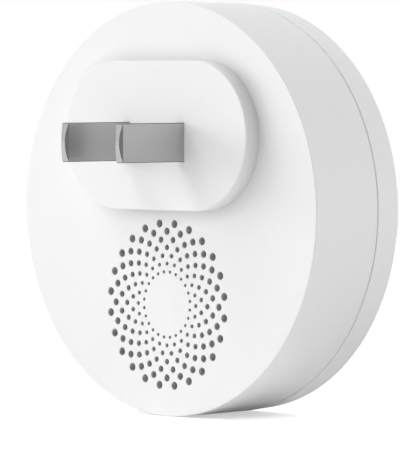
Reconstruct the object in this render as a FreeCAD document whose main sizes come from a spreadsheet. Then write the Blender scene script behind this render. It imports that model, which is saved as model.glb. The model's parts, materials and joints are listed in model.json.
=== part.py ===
import FreeCAD, Part
import math
import os
import re

import Sketcher

# Plug-in ultrasonic pest repeller, in millimetres. A round puck hangs on two flat blades.
# The origin is the centre of the plug boss's face, between the blades. +Y points to the
# wall, -Y into the room, +Z up. "Depth" is the distance from the boss's face into the room.

sizes = {
    # Housing
    "housing_radius": 34.0,
    "housing_wall": 2.0,
    "rear_floor": 2.0,
    "seam_depth": 14.3,  # rear face to parting line
    "body_depth": 20.0,  # rear face to the front face's edge
    "front_inset": 0.4,  # the cover's side draws in by this much
    "rear_edge_bevel": 0.2,
    "front_edge_bevel": 0.7,
    "parting_gap": 0.3,
    "parting_depth": 0.6,
    "fit_gap": 0.2,  # moulded piece in moulded piece
    # Plug boss, a flat-faced stadium that stands proud of the rear face
    "boss_height": 3.0,
    "boss_length": 42.4,
    "boss_width": 24.4,
    "boss_floor": 2.0,
    "plug_rise": 12.1,  # boss centre above housing axis
    # Blades
    "blade_drop": 1.05,  # below the boss's centre
    "blade_pitch": 12.7,
    "blade_width": 6.35,
    "blade_thick": 1.5,
    "blade_reach": 14.3,
    "blade_nose": 0.6,  # height of the rounded end
    "blade_bevel": 0.34,
    "blade_slack": 0.1,
    "shoulder_width": 9.0,
    "shoulder_height": 1.5,
    "tail_width": 4.0,
    # Blade carrier and its retainer
    "carrier_height": 4.5,
    "retainer_thick": 1.5,
    "clamp_spacing": 30.0,
    "clamp_post_radius": 2.2,
    # Contact clips
    "clip_sheet": 0.4,
    "clip_reach": 3.6,
    "clip_width": 3.6,
    "clip_slack": 0.05,
    "clip_foot": 1.0,
    # Grille, rings of holes that grow outwards
    "grille_first_ring": 5.38,
    "grille_margin": 0.84,  # last ring to the speaker's bore
    "grille_first_hole": 0.27,
    "grille_last_hole": 0.66,
    # Transducer and its seat
    "speaker_rim": 1.5,
    "seat_clear": 0.65,  # seat to the boss's hollow
    "seat_bite": 0.55,  # seat into the side wall
    "seat_wall": 1.0,
    "seat_height": 4.0,
    "seat_width": 5.0,
    "hook_lip": 0.7,
    "hook_play": 0.05,
    "mesh_thick": 0.25,
    "gasket_thick": 0.8,
    "diaphragm_thick": 0.4,
    "frame_depth": 4.55,
    "frame_back": 1.2,
    "frame_hub": 5.6,
    "frame_eye": 3.0,
    "frame_rim": 1.7,
    "piezo_radius": 4.0,
    "piezo_thick": 0.4,
    "terminal_side": 1.2,
    "terminal_height": 0.7,
    "terminal_spacing": 8.6,
    "lead_radius": 0.4,
    "lead_hole": 0.6,
    "lead_run": 6.5,
    "lead_rise": 1.6,
    # Circuit board and what holds it
    "board_gap": 7.0,  # inner floor to board
    "board_clear": 2.0,
    "board_thick": 1.6,
    "post_inset": 4.5,  # side wall to post
    "post_radius": 2.4,
    "rib_thick": 1.0,
    "rib_height": 5.0,
    "screw_radius": 0.9,
    "screw_length": 5.0,
    "screw_head_radius": 2.0,
    "screw_head_height": 1.3,
    "screw_hole": 1.2,
    "pilot_radius": 1.0,
    "pilot_extra": 0.5,
    # Snap joint between shell and cover
    "snap_start": 1.2,  # parting line to catch window
    "snap_height": 1.4,
    "snap_width": 10.0,
    "snap_depth": 0.9,
    "snap_play": 0.1,
    # Front cover
    "cover_wall": 2.0,
    "tongue_thick": 1.2,
    "tongue_reach": 3.4,
    "guide_wall": 1.0,
    "guide_depth": 2.4,
    # Button over its switch
    "button_radius": 7.0,
    "button_gap": 0.15,
    "button_proud": 0.6,
    "button_edge_bevel": 0.4,
    "flange_radius": 8.2,
    "flange_thick": 1.0,
    "flange_play": 0.1,
    "stem_radius": 1.6,
    "switch_side": 6.0,
    "switch_height": 3.4,
    "switch_well": 1.2,
    "plunger_radius": 1.7,
    "plunger_length": 1.6,
    "plunger_stand": 1.0,  # plunger above the switch at rest
    # Status light
    "lens_rise": 13.0,  # above housing axis
    "lens_radius": 1.6,
    "lens_gap": 0.05,
    "lens_flange": 0.8,
    "led_radius": 1.5,
    "led_rim": 0.4,
    "led_barrel": 2.8,
    # Parts on the board, each standing on its pins
    "pin_side": 0.6,
    "pin_height": 0.8,
    "film_length": 13.0,
    "film_width": 6.0,
    "film_height": 5.6,
    "film_corner": 0.8,
    "film_right": -15.0,
    "film_up": 9.5,
    "filter_radius": 3.0,
    "filter_length": 11.0,
    "filter_right": 22.0,
    "filter_up": 1.5,
    "storage_radius": 2.5,
    "storage_height": 5.0,
    "storage_right": -12.6,
    "storage_up": -1.0,
    "fuse_radius": 1.4,
    "fuse_length": 8.0,
    "fuse_right": -15.0,
    "fuse_up": 17.5,
    "lead_reach": 1.6,  # wire beyond the fusible resistor's end
    "varistor_radius": 2.8,
    "varistor_thick": 2.6,
    "varistor_right": 9.5,
    "varistor_up": 19.0,
    "coil_radius": 4.2,
    "coil_neck": 3.4,
    "coil_height": 5.6,
    "coil_flange": 0.8,
    "coil_right": 14.5,
    "coil_up": -4.0,
    "rectifier_length": 4.7,
    "rectifier_width": 3.9,
    "rectifier_height": 2.4,
    "rectifier_right": 13.0,
    "rectifier_up": 10.0,
    "rectifier_pitch": 2.54,
    "chip_length": 4.9,
    "chip_width": 3.9,
    "chip_height": 1.5,
    "chip_right": -9.0,
    "chip_up": -12.0,
    "chip_pitch": 1.27,
    "leg_side": 0.4,
    "leg_thick": 0.2,
    "leg_reach": 1.0,
    "leg_stand": 0.15,
    "transistor_radius": 2.4,
    "transistor_height": 4.6,
    "transistor_clear_right": 3.7,  # black lead to the first one's centre
    "transistor_clear_up": 2.65,  # above the leads' holes
    "transistor_spacing": 6.5,
    "crystal_length": 11.0,
    "crystal_width": 4.7,
    "crystal_height": 3.2,
    "crystal_rim": 0.4,
    "crystal_right": -20.0,
    "crystal_up": -3.0,
}

rings_of_holes = 7
holes_per_ring = 24
# Round forms that repeat, or that nothing shows, are drawn with straight sides.
hole_sides = 6
screw_sides = 10
speaker_sides = 24
board_sides = 48

doc = FreeCAD.newDocument("PestRepeller")
sheet = doc.addObject("Spreadsheet::Sheet", "Sizes")
for row, (name, number) in enumerate(sizes.items(), start=1):
    sheet.set("A%d" % row, name.replace("_", " "))
    sheet.set("B%d" % row, str(number))
    sheet.setAlias("B%d" % row, name)
doc.recompute()

pieces = []
toward_room = FreeCAD.Rotation(FreeCAD.Vector(1, 0, 0), 90)  # a piece's Z axis points to -Y
upright = FreeCAD.Rotation()
sideways = FreeCAD.Rotation(FreeCAD.Vector(0, 1, 0), 90)  # a piece's Z axis points to +X

# Places that several pieces share, as formulas of the sizes
shell_inner = "(housing_radius - housing_wall)"
front_outer = "(housing_radius - front_inset)"
tongue_outer = f"(sqrt({shell_inner}^2 - snap_width^2 / 4) - fit_gap)"
hollow_length = "(boss_length - 2 * housing_wall)"
hollow_width = "(boss_width - 2 * housing_wall)"
floor_depth = "(boss_height + rear_floor)"
board_back = f"({floor_depth} + board_gap)"
board_front = f"({board_back} + board_thick)"
cover_depth = "(body_depth - seam_depth)"
ceiling = "(boss_height + body_depth - cover_wall)"
board_radius = f"({shell_inner} - board_clear)"
post_circle = f"({shell_inner} - post_inset)"
seat_bottom = f"({shell_inner} + seat_bite)"
seat_top = f"(plug_rise - {hollow_width} / 2 - seat_clear)"
grille_drop = f"(({seat_bottom} - {seat_top}) / 2)"
seat_inner = f"(({seat_bottom} + {seat_top}) / 2 - seat_wall)"
speaker_radius = f"({seat_inner} - fit_gap)"
speaker_bore = f"({speaker_radius} - speaker_rim)"
grille_step = f"(({speaker_bore} - grille_margin - grille_first_ring) / {rings_of_holes - 1})"
diaphragm_plane = "(mesh_thick + gasket_thick)"
frame_plane = f"({diaphragm_plane} + diaphragm_thick)"
frame_top = f"({frame_plane} + frame_depth)"
retainer_depth = "(boss_floor + carrier_height)"
speaker_up = f"(-plug_rise - {grille_drop})"
boss_inside = "(boss_floor - boss_height)"
plunger_top = "(switch_height + plunger_stand)"


def bound(text):
    # Each size's name becomes a reference to its cell.
    return re.sub(r"[a-z]+(?:_[a-z]+)+", lambda word: "Sizes." + word.group(), text)


def value(text):
    return float(sheet.evalExpression(bound(text)))


def bind(thing, field, text):
    if text != "0":
        thing.setExpression(field, bound(text))


def new_piece(label, right="0", up="0", depth="0", turn=toward_room):
    body = doc.addObject("PartDesign::Body", label)
    body.Label = label
    body.Placement = FreeCAD.Placement(FreeCAD.Vector(), turn)
    bind(body, "Placement.Base.x", right)
    bind(body, "Placement.Base.y", "0" if depth == "0" else f"-({depth})")
    bind(body, "Placement.Base.z", up)
    pieces.append(body)
    return body


def add_sketch(body, plane, right="0", up="0", lift="0"):
    sketch = body.newObject("Sketcher::SketchObject", "Sketch")
    support = [part for part in body.Origin.OriginFeatures if part.Role == plane][0]
    sketch.AttachmentSupport = [(support, "")]
    sketch.MapMode = "FlatFace"
    bind(sketch, "AttachmentOffset.Base.x", right)
    bind(sketch, "AttachmentOffset.Base.y", up)
    bind(sketch, "AttachmentOffset.Base.z", lift)
    return sketch


def dimension(sketch, *parts):
    # The last of the parts is the formula that drives this dimension.
    number = sketch.addConstraint(Sketcher.Constraint(*parts[:-1], value(parts[-1])))
    sketch.setExpression("Constraints[%d]" % number, bound(parts[-1]))


def hold(sketch, shape, point, x, y):
    # Ties one point to its place, measured from the sketch's own axes.
    for kind, axis, text in (("DistanceX", -2, x), ("DistanceY", -1, y)):
        if text == "0":
            sketch.addConstraint(Sketcher.Constraint("PointOnObject", shape, point, axis))
        else:
            dimension(sketch, kind, -1, 1, shape, point, text)


def arc_between(start, finish, radius, side):
    # side is 1 where the centre lies to the left of the way to finish, and -1 to its right.
    chord = finish - start
    rise = math.sqrt(max(radius**2 - chord.Length**2 / 4, 0))
    left = FreeCAD.Vector(-chord.y, chord.x, 0).normalize()
    centre = (start + finish) * 0.5 + left * rise * side
    ends = (start, finish) if side > 0 else (finish, start)
    angles = [math.atan2(end.y - centre.y, end.x - centre.x) for end in ends]
    circle = Part.Circle(centre, FreeCAD.Vector(0, 0, 1), radius)
    return Part.ArcOfCircle(circle, angles[0], angles[1])


def outline(sketch, corners, closed=True):
    # A corner is (x, y), or (x, y, radius, side) where an arc leads to the next one.
    spots = [FreeCAD.Vector(value(corner[0]), value(corner[1]), 0) for corner in corners]
    runs = []
    for number in range(len(corners) if closed else len(corners) - 1):
        start = spots[number]
        finish = spots[(number + 1) % len(spots)]
        if len(corners[number]) == 2:
            runs.append((sketch.addGeometry(Part.LineSegment(start, finish)), 1, 2))
            continue
        radius, side = corners[number][2:]
        shape = sketch.addGeometry(arc_between(start, finish, value(radius), side))
        dimension(sketch, "Radius", shape, radius)
        runs.append((shape, 1, 2) if side > 0 else (shape, 2, 1))
    for (shape, first, last), corner in zip(runs, corners):
        hold(sketch, shape, first, corner[0], corner[1])
    following = runs[1:] + runs[:1] if closed else runs[1:]
    for (shape, first, last), (other, start, finish) in zip(runs, following):
        sketch.addConstraint(Sketcher.Constraint("Coincident", shape, last, other, start))
    if not closed:
        hold(sketch, runs[-1][0], runs[-1][2], corners[-1][0], corners[-1][1])


def rectangle(sketch, x, y, width, height):
    # Centred on (x, y)
    left, right = f"{x} - ({width}) / 2", f"{x} + ({width}) / 2"
    low, high = f"{y} - ({height}) / 2", f"{y} + ({height}) / 2"
    outline(sketch, [(left, low), (right, low), (right, high), (left, high)])


def disc(sketch, x, y, radius):
    spot = FreeCAD.Vector(value(x), value(y), 0)
    shape = sketch.addGeometry(Part.Circle(spot, FreeCAD.Vector(0, 0, 1), value(radius)))
    dimension(sketch, "Radius", shape, radius)
    hold(sketch, shape, 3, x, y)


def polygon(sketch, x, y, radius, sides):
    # Regular, with a quarter of a step of turn
    corners = []
    for number in range(sides):
        angle = 90 + 360 * (number + 0.25) / sides
        corners.append((f"{x} + ({radius}) * cos({angle})", f"{y} + ({radius}) * sin({angle})"))
    outline(sketch, corners)


def stadium(sketch, length, width):
    # Two straight sides and two round ends, each drawn as two quarter circles
    reach, radius = f"(({length}) - ({width})) / 2", f"(({width}) / 2)"
    outline(
        sketch,
        [
            (f"-{reach}", f"-{radius}"),
            (reach, f"-{radius}", radius, 1),
            (f"{reach} + {radius}", "0", radius, 1),
            (reach, radius),
            (f"-{reach}", radius, radius, 1),
            (f"-{reach} - {radius}", "0", radius, 1),
        ],
    )


def capsule(sketch, length, width, steps=5):
    # A stadium with straight-sided ends
    reach, radius = f"(({length}) - ({width})) / 2", f"(({width}) / 2)"
    corners = []
    for side in (1, -1):
        for number in range(steps + 1):
            angle = -90 * side + 180 * number / steps
            corners.append((f"{side} * {reach} + {radius} * cos({angle})", f"{radius} * sin({angle})"))
    outline(sketch, corners)


def check_volume(body, before, grows):
    doc.recompute()
    after = body.Shape.Volume
    if (after > before) != grows or abs(after - before) < 1e-6:
        raise RuntimeError("%s: %s changed nothing" % (body.Label, body.Tip.Name))


def add_pad(body, sketch, length, backward=False, both_ways=False):
    before = body.Shape.Volume if body.Tip else 0.0
    pad = body.newObject("PartDesign::Pad", "Pad")
    pad.Profile = sketch
    bind(pad, "Length", length)
    pad.Midplane = both_ways
    pad.Reversed = backward
    check_volume(body, before, grows=True)
    return pad


def cut_pocket(body, sketch, length=None, backward=False, both_ways=False):
    before = body.Shape.Volume
    pocket = body.newObject("PartDesign::Pocket", "Pocket")
    pocket.Profile = sketch
    if length is None:
        pocket.Type = "ThroughAll"
    else:
        bind(pocket, "Length", length)
    pocket.Midplane = both_ways
    pocket.Reversed = backward
    check_volume(body, before, grows=False)
    return pocket


def revolve(body, sketch):
    before = body.Shape.Volume if body.Tip else 0.0
    turned = body.newObject("PartDesign::Revolution", "Revolution")
    turned.Profile = sketch
    turned.ReferenceAxis = (sketch, ["V_Axis"])
    turned.Angle = 360
    check_volume(body, before, grows=True)
    return turned


def finish_pattern(body, pattern, originals):
    pattern.Originals = originals
    body.Tip = pattern
    doc.recompute()
    return pattern


def repeat_round(body, originals, sketch, copies):
    pattern = body.newObject("PartDesign::PolarPattern", "PolarPattern")
    pattern.Axis = (sketch, ["N_Axis"])
    pattern.Angle = 360
    pattern.Occurrences = copies
    return finish_pattern(body, pattern, originals)


def repeat_along(body, originals, sketch, span, copies):
    pattern = body.newObject("PartDesign::LinearPattern", "LinearPattern")
    pattern.Direction = (sketch, ["H_Axis"])
    bind(pattern, "Length", span)
    pattern.Occurrences = copies
    return finish_pattern(body, pattern, originals)


def mirror(body, originals, sketch):
    pattern = body.newObject("PartDesign::Mirrored", "Mirrored")
    pattern.MirrorPlane = (sketch, ["V_Axis"])
    return finish_pattern(body, pattern, originals)


def add_square_pins(body, spots, height="pin_height"):
    # Wire ends under a part, from its underside down to the board
    sketch = add_sketch(body, "XY_Plane")
    for x, y in spots:
        rectangle(sketch, x, y, "pin_side", "pin_side")
    return add_pad(body, sketch, height)


def grille_hole(sketch, ring):
    # One hole of a ring. Every other ring starts half a step round, so the rings interlock.
    radius = f"(grille_first_ring + {ring} * {grille_step})"
    growth = f"{ring} / {rings_of_holes - 1}"
    size = f"(grille_first_hole + (grille_last_hole - grille_first_hole) * {growth})"
    turn = 180 / holes_per_ring if ring % 2 == 0 else 0
    polygon(sketch, f"-{radius} * sin({turn})", f"{radius} * cos({turn})", size, hole_sides)


def rear_shell():
    body = new_piece("rear_shell", up="-plug_rise", depth="boss_height")
    wall = add_sketch(body, "XZ_Plane")
    outline(
        wall,
        [
            ("0", "0"),
            ("housing_radius - rear_edge_bevel", "0"),
            ("housing_radius", "rear_edge_bevel"),
            ("housing_radius", "seam_depth"),
            (shell_inner, "seam_depth"),
            (shell_inner, "rear_floor"),
            ("0", "rear_floor"),
        ],
    )
    revolve(body, wall)

    # Plug boss, hollow behind, with a slot for each blade
    boss = add_sketch(body, "XY_Plane", up="plug_rise")
    stadium(boss, "boss_length", "boss_width")
    add_pad(body, boss, "boss_height", backward=True)
    hollow = add_sketch(body, "XY_Plane", up="plug_rise", lift="rear_floor")
    stadium(hollow, hollow_length, hollow_width)
    cut_pocket(body, hollow, "rear_floor + boss_height - boss_floor")
    slots = add_sketch(body, "XY_Plane", up="plug_rise", lift=boss_inside)
    blade_slots(slots, "blade_width")
    cut_pocket(body, slots)

    # Seat of the transducer: three plain stops, and three hooks that snap over its frame
    stop = add_sketch(body, "XY_Plane", up=f"-{grille_drop}", lift="rear_floor")
    rectangle(stop, "0", f"-{seat_inner} - seat_wall / 2", "seat_width", "seat_wall")
    stop_pad = add_pad(body, stop, "seat_height")
    repeat_round(body, [stop_pad], stop, 3)
    hook = add_sketch(body, "YZ_Plane", right=f"-{grille_drop}", up="rear_floor")
    lip_low = f"{frame_top} + hook_play"
    lip_high = f"{lip_low} + hook_lip"
    outline(
        hook,
        [
            (seat_inner, "0"),
            (f"{seat_inner} + seat_wall", "0"),
            (f"{seat_inner} + seat_wall", lip_high),
            (f"{seat_inner} - hook_lip", lip_high),
            (f"{seat_inner} - hook_lip", lip_low),
            (seat_inner, lip_low),
        ],
    )
    hook_pad = add_pad(body, hook, "seat_width", both_ways=True)
    repeat_round(body, [hook_pad], stop, 3)

    # Three screw posts carry the board, each tied to the side wall by a rib.
    centre = add_sketch(body, "XY_Plane", lift="rear_floor")
    polygon(centre, "0", post_circle, "post_radius", screw_sides)
    post = add_pad(body, centre, "board_gap")
    web = add_sketch(body, "XY_Plane", lift="rear_floor")
    rib_length = f"({shell_inner} + housing_wall / 2 - {post_circle})"
    rectangle(web, "0", f"{post_circle} + {rib_length} / 2", "rib_thick", rib_length)
    rib = add_pad(body, web, "rib_height")
    pilot = add_sketch(body, "XY_Plane", lift="rear_floor + board_gap")
    polygon(pilot, "0", post_circle, "pilot_radius", screw_sides)
    pilot_hole = cut_pocket(body, pilot, "screw_length - board_thick + pilot_extra")
    repeat_round(body, [post, rib, pilot_hole], centre, 3)

    # Two posts in the boss take the retainer's screws.
    clamp = add_sketch(body, "XY_Plane", up="plug_rise", lift=boss_inside)
    clamp_spots(clamp, "clamp_post_radius")
    add_pad(body, clamp, "carrier_height")
    clamp_pilot = add_sketch(body, "XY_Plane", up="plug_rise", lift=f"{boss_inside} + carrier_height")
    clamp_spots(clamp_pilot, "pilot_radius")
    cut_pocket(body, clamp_pilot, "screw_length - retainer_thick + pilot_extra")

    # Catch windows for the cover's snap tongues
    window = add_sketch(body, "XY_Plane", lift="seam_depth - snap_start")
    rectangle(window, shell_inner, "0", "2 * snap_depth", "snap_width")
    catch = cut_pocket(body, window, "snap_height")
    repeat_round(body, [catch], window, 4)

    # Sound grille, cut last because its many walls slow every later feature
    holes = add_sketch(body, "XY_Plane", up=f"-{grille_drop}", lift="rear_floor")
    for ring in range(rings_of_holes):
        grille_hole(holes, ring)
    hole_row = cut_pocket(body, holes)
    repeat_round(body, [hole_row], holes, holes_per_ring)


def blade_slots(sketch, width):
    for side in (-1, 1):
        rectangle(
            sketch,
            f"{side} * blade_pitch / 2",
            "-blade_drop",
            "blade_thick + 2 * blade_slack",
            f"{width} + 2 * blade_slack",
        )


def clamp_spots(sketch, radius):
    for side in (-1, 1):
        polygon(sketch, f"{side} * clamp_spacing / 2", "0", radius, screw_sides)


def front_cover():
    body = new_piece("front_cover", up="-plug_rise", depth="boss_height + seam_depth")
    inside = f"({cover_depth} - cover_wall)"
    cap = add_sketch(body, "XZ_Plane")
    outline(
        cap,
        [
            ("0", inside),
            (shell_inner, inside),
            (shell_inner, "0"),
            ("housing_radius - parting_depth", "0"),
            ("housing_radius - parting_depth", "parting_gap"),
            ("housing_radius", "parting_gap"),
            (front_outer, f"{cover_depth} - front_edge_bevel"),
            (f"{front_outer} - front_edge_bevel", cover_depth),
            ("0", cover_depth),
        ],
    )
    revolve(body, cap)

    # Openings for the button and the light, and the ring that guides the button's flange
    openings = add_sketch(body, "XY_Plane")
    disc(openings, "0", "0", "button_radius + button_gap")
    disc(openings, "0", "lens_rise", "lens_radius + lens_gap")
    cut_pocket(body, openings, backward=True)
    guide = add_sketch(body, "XY_Plane", lift=inside)
    polygon(guide, "0", "0", "flange_radius + 2 * fit_gap", speaker_sides)
    polygon(guide, "0", "0", "flange_radius + 2 * fit_gap + guide_wall", speaker_sides)
    add_pad(body, guide, "guide_depth", backward=True)

    # Four snap tongues, each with a catch for its window in the shell
    root = add_sketch(body, "XY_Plane", lift="-tongue_reach")
    rectangle(root, f"{tongue_outer} - tongue_thick / 2", "0", "tongue_thick", "snap_width - 4 * snap_play")
    tongue = add_pad(body, root, f"tongue_reach + {inside}")
    catch = add_sketch(body, "XY_Plane", lift="-snap_start - snap_play")
    catch_low = f"({tongue_outer} - tongue_thick / 2)"
    catch_length = f"({shell_inner} + snap_depth - 3 * snap_play - {catch_low})"
    rectangle(catch, f"{catch_low} + {catch_length} / 2", "0", catch_length, "snap_width - 4 * snap_play")
    bump = add_pad(body, catch, "snap_height - 2 * snap_play", backward=True)
    repeat_round(body, [tongue, bump], root, 4)


def blade_carrier():
    # Block that fills the boss and holds both blades upright
    body = new_piece("blade_carrier", depth="boss_floor")
    block = add_sketch(body, "XY_Plane")
    capsule(block, f"{hollow_length} - 2 * fit_gap", f"{hollow_width} - 2 * fit_gap")
    clamp_spots(block, "clamp_post_radius + fit_gap")
    blade_slots(block, "blade_width")
    add_pad(body, block, "carrier_height")
    shoulders = add_sketch(body, "XY_Plane", lift="carrier_height")
    blade_slots(shoulders, "shoulder_width")
    cut_pocket(body, shoulders, "shoulder_height")


def blade_retainer():
    # Plate screwed over the carrier, which keeps the blades from being pushed in
    body = new_piece("blade_retainer", depth=retainer_depth)
    plate = add_sketch(body, "XY_Plane")
    capsule(plate, f"{hollow_length} - 2 * fit_gap", f"{hollow_width} - 2 * fit_gap")
    clamp_spots(plate, "screw_hole")
    blade_slots(plate, "tail_width")
    add_pad(body, plate, "retainer_thick")


def plug_blade(side, label):
    # Flat blade with a rounded, bevelled end, a shoulder in the carrier and a narrow tail
    body = new_piece(label, right=f"{side} * blade_pitch / 2", up="-blade_drop")
    half_width = "blade_width / 2"
    half_shoulder = "shoulder_width / 2"
    half_tail = "tail_width / 2"
    straight_end = "blade_nose - blade_reach"
    nose_radius = "((blade_width / 2)^2 + blade_nose^2) / (2 * blade_nose)"
    shoulder_low = f"{retainer_depth} - shoulder_height"
    tail_end = f"{board_back} - clip_sheet - clip_slack * 4"
    face = add_sketch(body, "YZ_Plane")
    outline(
        face,
        [
            (f"-{half_width}", straight_end, nose_radius, 1),
            (half_width, straight_end),
            (half_width, shoulder_low),
            (half_shoulder, shoulder_low),
            (half_shoulder, retainer_depth),
            (half_tail, retainer_depth),
            (half_tail, tail_end),
            (f"-{half_tail}", tail_end),
            (f"-{half_tail}", retainer_depth),
            (f"-{half_shoulder}", retainer_depth),
            (f"-{half_shoulder}", shoulder_low),
            (f"-{half_width}", shoulder_low),
        ],
    )
    add_pad(body, face, "blade_thick", both_ways=True)
    bevel = add_sketch(body, "XZ_Plane")
    for way in (-1, 1):
        outline(
            bevel,
            [
                (f"{way} * blade_thick / 2", straight_end),
                (f"{way} * (blade_thick / 2 - blade_bevel)", "-blade_reach"),
                (f"{way} * (blade_thick / 2 - blade_bevel)", "-blade_reach - blade_nose"),
                (f"{way} * (blade_thick / 2 + blade_nose)", "-blade_reach - blade_nose"),
                (f"{way} * (blade_thick / 2 + blade_nose)", straight_end),
            ],
        )
    cut_pocket(body, bevel, "2 * blade_width", both_ways=True)


def contact_clip(side, label):
    # Folded spring strip on the board that grips the blade's tail
    body = new_piece(label, right=f"{side} * blade_pitch / 2", up="-blade_drop", depth=board_back)
    inner = "(blade_thick / 2 + clip_slack)"
    outer = f"({inner} + clip_sheet)"
    foot = f"({outer} + clip_foot)"
    strip = add_sketch(body, "XZ_Plane")
    outline(
        strip,
        [
            (f"-{foot}", "0"),
            (foot, "0"),
            (foot, "-clip_sheet"),
            (outer, "-clip_sheet"),
            (outer, "-clip_reach"),
            (inner, "-clip_reach"),
            (inner, "-clip_sheet"),
            (f"-{inner}", "-clip_sheet"),
            (f"-{inner}", "-clip_reach"),
            (f"-{outer}", "-clip_reach"),
            (f"-{outer}", "-clip_sheet"),
            (f"-{foot}", "-clip_sheet"),
        ],
    )
    add_pad(body, strip, "clip_width", both_ways=True)


def pan_screw(body, right="0", up="0"):
    # Head on the sketch's plane, shank below it
    head = add_sketch(body, "XY_Plane", right, up)
    polygon(head, "0", "0", "screw_head_radius", screw_sides)
    shank = add_sketch(body, "XY_Plane", right, up)
    polygon(shank, "0", "0", "screw_radius", screw_sides)
    return [add_pad(body, head, "screw_head_height"), add_pad(body, shank, "screw_length", backward=True)]


def retainer_screws():
    body = new_piece("retainer_screws", depth=f"{retainer_depth} + retainer_thick")
    middle = add_sketch(body, "XY_Plane")
    screw = pan_screw(body, right="clamp_spacing / 2")
    mirror(body, screw, middle)


def board_screws():
    body = new_piece("board_screws", up="-plug_rise", depth=board_front)
    middle = add_sketch(body, "XY_Plane")
    screw = pan_screw(body, up=post_circle)
    repeat_round(body, screw, middle, 3)


def main_board():
    body = new_piece("main_board", up="-plug_rise", depth=board_back)
    panel = add_sketch(body, "XY_Plane")
    polygon(panel, "0", "0", board_radius, board_sides)
    for side in (-1, 1):
        spot = f"{side} * terminal_spacing / 2"
        rectangle(panel, spot, f"-{grille_drop}", "2 * lead_hole", "2 * lead_hole")
    add_pad(body, panel, "board_thick")
    fixing = add_sketch(body, "XY_Plane", lift="board_thick")
    polygon(fixing, "0", post_circle, "screw_hole", screw_sides)
    hole = cut_pocket(body, fixing)
    repeat_round(body, [hole], panel, 3)


def speaker_layer(label, start, thick, radius=speaker_radius, bore=None):
    # One flat layer of the sound unit, a disc or a ring
    body = new_piece(label, up=speaker_up, depth=f"{floor_depth} + {start}")
    layer = add_sketch(body, "XY_Plane")
    polygon(layer, "0", "0", radius, speaker_sides)
    if bore:
        polygon(layer, "0", "0", bore, speaker_sides)
    add_pad(body, layer, thick)


def transducer_frame():
    # Basket: a rim, and a back plate with four windows and an eye
    body = new_piece("transducer_frame", up=speaker_up, depth=f"{floor_depth} + {frame_plane}")
    rim = add_sketch(body, "XY_Plane")
    polygon(rim, "0", "0", speaker_radius, speaker_sides)
    polygon(rim, "0", "0", speaker_bore, speaker_sides)
    add_pad(body, rim, "frame_depth")
    plate = add_sketch(body, "XY_Plane", lift="frame_depth")
    polygon(plate, "0", "0", f"({speaker_radius} + {speaker_bore}) / 2", speaker_sides)
    polygon(plate, "0", "0", "frame_eye", screw_sides)
    add_pad(body, plate, "frame_back", backward=True)
    window = add_sketch(body, "XY_Plane", lift="frame_depth")
    outer = f"({speaker_bore} - frame_rim)"
    corners = [("frame_hub", 15), (outer, 10), (outer, 45), (outer, 80), ("frame_hub", 75), ("frame_hub", 45)]
    outline(window, [(f"{reach} * cos({angle})", f"{reach} * sin({angle})") for reach, angle in corners])
    opening = cut_pocket(body, window)
    repeat_round(body, [opening], window, 4)


def transducer_terminals():
    body = new_piece("transducer_terminals", up=speaker_up, depth=f"{floor_depth} + {frame_top}")
    foot = add_sketch(body, "XY_Plane")
    rectangle(foot, "terminal_spacing / 2", "0", "terminal_side", "terminal_side")
    block = add_pad(body, foot, "terminal_height")
    mirror(body, [block], foot)


def transducer_lead(side, label):
    # Wire from a terminal through the board, over its face and down to its solder pad
    start = f"{floor_depth} + {frame_top} + terminal_height"
    body = new_piece(label, right=f"{side} * terminal_spacing / 2", up=speaker_up, depth=start)
    top = f"({board_front} + lead_rise - ({start}))"
    end = f"({board_front} - ({start}))"
    route = add_sketch(body, "YZ_Plane")
    outline(route, [("0", "0"), ("0", top), ("-lead_run", top), ("-lead_run", end)], closed=False)
    section = add_sketch(body, "XY_Plane")
    polygon(section, "0", "0", "lead_radius", hole_sides)
    pipe = body.newObject("PartDesign::AdditivePipe", "Pipe")
    pipe.Profile = section
    pipe.Spine = (route, ["Edge1", "Edge2", "Edge3"])
    pipe.Transition = "Right corner"
    doc.recompute()


def film_capacitor():
    body = new_piece("film_capacitor", "film_right", "film_up - plug_rise", board_front)
    add_square_pins(body, [("-film_length / 2 + 2 * pin_side", "0"), ("film_length / 2 - 2 * pin_side", "0")])
    case = add_sketch(body, "XY_Plane", lift="pin_height")
    half_length, half_width = "film_length / 2", "film_width / 2"
    corners = []
    for x_side, y_side in ((1, -1), (1, 1), (-1, 1), (-1, -1)):
        ends = [
            (f"{x_side} * ({half_length} - film_corner)", f"{y_side} * {half_width}"),
            (f"{x_side} * {half_length}", f"{y_side} * ({half_width} - film_corner)"),
        ]
        corners += ends if x_side * y_side < 0 else reversed(ends)
    outline(case, corners)
    add_pad(body, case, "film_height")


def add_can(body, sides, radius, height, lift="0", x="0", y="0"):
    # Upright round body of a part
    can = add_sketch(body, "XY_Plane", lift=lift)
    polygon(can, x, y, radius, sides)
    return add_pad(body, can, height)


def filter_capacitor():
    # Large can laid on the board, with its wires bent down to it
    body = new_piece(
        "filter_capacitor",
        "filter_right",
        "filter_up - plug_rise",
        f"{board_front} + filter_radius + leg_stand",
        upright,
    )
    add_can(body, speaker_sides, "filter_radius", "filter_length")
    fall = "(filter_radius + leg_stand)"
    for side in (-1, 1):
        wire = add_sketch(body, "YZ_Plane", lift=f"{side} * filter_radius / 2.5")
        outline(
            wire,
            [
                ("-pin_side / 2", "0"),
                ("-pin_side / 2", "-pin_height"),
                (fall, "-pin_height"),
                (fall, "-pin_height - pin_side"),
                ("pin_side / 2", "-pin_height - pin_side"),
                ("-pin_side / 2 - pin_side", "-pin_height - pin_side"),
                ("-pin_side / 2 - pin_side", "0"),
            ],
        )
        add_pad(body, wire, "pin_side", both_ways=True)


def storage_capacitor():
    body = new_piece("storage_capacitor", "storage_right", "storage_up - plug_rise", board_front)
    add_square_pins(body, [("-storage_radius / 2", "0"), ("storage_radius / 2", "0")])
    add_can(body, speaker_sides, "storage_radius", "storage_height", lift="pin_height")


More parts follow.
